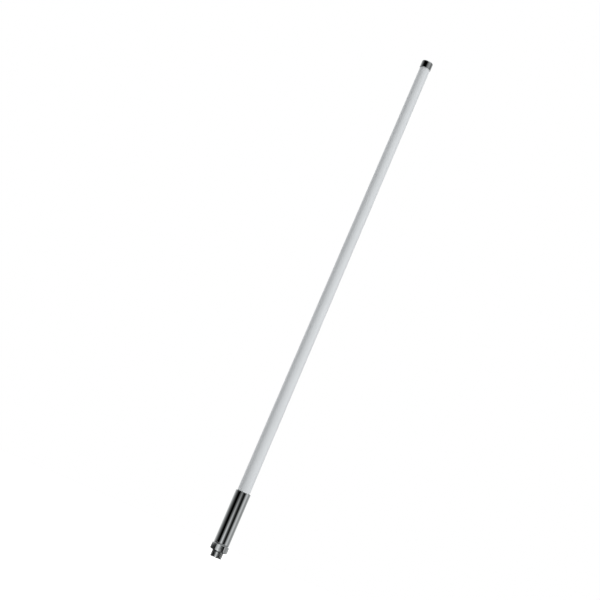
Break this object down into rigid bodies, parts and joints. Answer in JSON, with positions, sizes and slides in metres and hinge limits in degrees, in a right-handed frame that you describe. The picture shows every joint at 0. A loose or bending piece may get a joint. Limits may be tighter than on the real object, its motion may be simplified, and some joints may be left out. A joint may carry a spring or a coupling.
{
  "type": "omnidirectional antenna",
  "caption": "Base-mounted omnidirectional stick antenna: tapered white radome with a mirror-plated tip cap, mounting sleeve and jam nut, and an N-type socket in its foot.",
  "frame": {"origin": "centre of the socket's rim, the lowest plane of the antenna, on its axis", "axes": "+Z along the antenna from the socket to the tip; one corner of the nut stands 1.5 degrees anticlockwise of +X at rest, seen from above"},
  "size_m": [0.0244, 0.0224, 0.735],
  "materials": {
    "radome_white": "satin",
    "mirror_plate": "polished",
    "washer_steel": "satin",
    "contact_gold": "polished",
    "ptfe": "satin",
    "seal_rubber": "matte",
    "feed_copper": "satin",
    "silvered_wire": "satin",
    "bare_brass": "satin",
    "spacer_foam": "matte"
  },
  "bodies": {
    "antenna": {"connector_shell": "mirror_plate", "connector_insulator": "ptfe", "centre_contact": "contact_gold", "shell_o_ring": "seal_rubber", "base_ferrule": "mirror_plate", "radome_tube": "radome_white", "top_cap": "mirror_plate", "cap_o_ring": "seal_rubber", "feed_outer": "feed_copper", "feed_dielectric": "ptfe", "feed_conductor": "silvered_wire", "choke_sleeve": "bare_brass", "choke_spacer": "ptfe", "radiator_tube_1": "bare_brass", "radiator_tube_2": "bare_brass", "radiator_tube_3": "bare_brass", "radiator_tube_4": "bare_brass", "radiator_tube_5": "bare_brass", "radiator_tube_6": "bare_brass", "radiator_tube_7": "bare_brass", "radiator_tube_8": "bare_brass", "inner_conductor_1": "silvered_wire", "inner_conductor_2": "silvered_wire", "inner_conductor_3": "silvered_wire", "inner_conductor_4": "silvered_wire", "inner_conductor_5": "silvered_wire", "inner_conductor_6": "silvered_wire", "inner_conductor_7": "silvered_wire", "inner_conductor_8": "silvered_wire", "crossover_1": "silvered_wire", "crossover_2": "silvered_wire", "crossover_3": "silvered_wire", "crossover_4": "silvered_wire", "crossover_5": "silvered_wire", "crossover_6": "silvered_wire", "crossover_7": "silvered_wire", "crossover_8": "silvered_wire", "centring_ring_1": "spacer_foam", "centring_ring_2": "spacer_foam", "centring_ring_3": "spacer_foam", "centring_ring_4": "spacer_foam", "centring_ring_5": "spacer_foam", "centring_ring_6": "spacer_foam", "centring_ring_7": "spacer_foam", "centring_ring_8": "spacer_foam", "dielectric_beads": "ptfe", "top_whip": "bare_brass", "tip_cushion": "spacer_foam"},
    "washer": {"lock_washer": "washer_steel"},
    "nut": {"jam_nut": "mirror_plate"}
  },
  "joints": [
    {"name": "washer_travel", "type": "slide", "parent": "antenna", "child": "washer", "axis": [0, 0, -1], "range_m": [0, 0.0085]},
    {"name": "nut_turn", "type": "hinge", "parent": "washer", "child": "nut", "pos_m": [0, 0, 0], "axis": [0, 0, -1], "range_deg": [0, 2880]}
  ],
  "couplings": [
    {"joint": "washer_travel", "follows": "nut_turn", "m_per_rad": 0.00016844}
  ]
}
